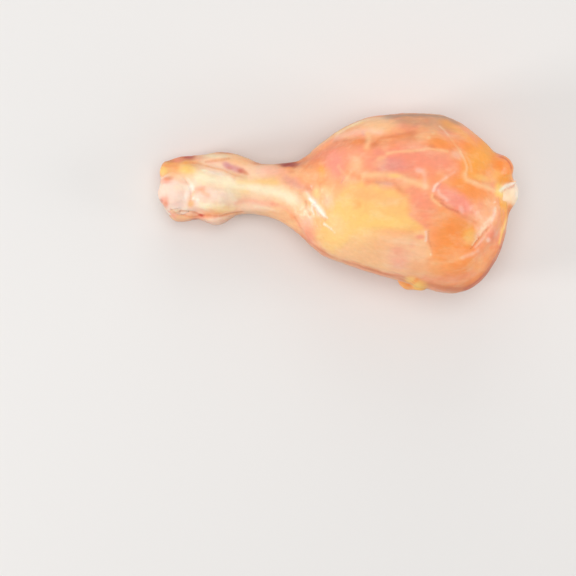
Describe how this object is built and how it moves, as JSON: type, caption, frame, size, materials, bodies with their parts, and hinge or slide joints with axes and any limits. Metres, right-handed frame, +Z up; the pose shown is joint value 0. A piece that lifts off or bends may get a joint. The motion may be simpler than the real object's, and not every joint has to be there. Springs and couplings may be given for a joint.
{
  "type": "skinless chicken drumstick",
  "caption": "Raw skinless chicken drumstick lying on its side: a full calf, a slim shank and the bare joint ends of the leg bone.",
  "frame": {"origin": "on the surface that the leg lies on, under the middle of its box", "axes": "+X runs from the ankle to the knee, +Y is towards the side of the shin crest, and +Z is up out of the shown side"},
  "size_m": [0.1292, 0.0644, 0.0447],
  "materials": {
    "flesh": "moist raw meat with tendons, film and yellow fat",
    "bone": "moist cartilage over bone"
  },
  "bodies": {
    "root": {"flesh": "flesh", "leg_bone": "bone"}
  },
  "joints": []
}
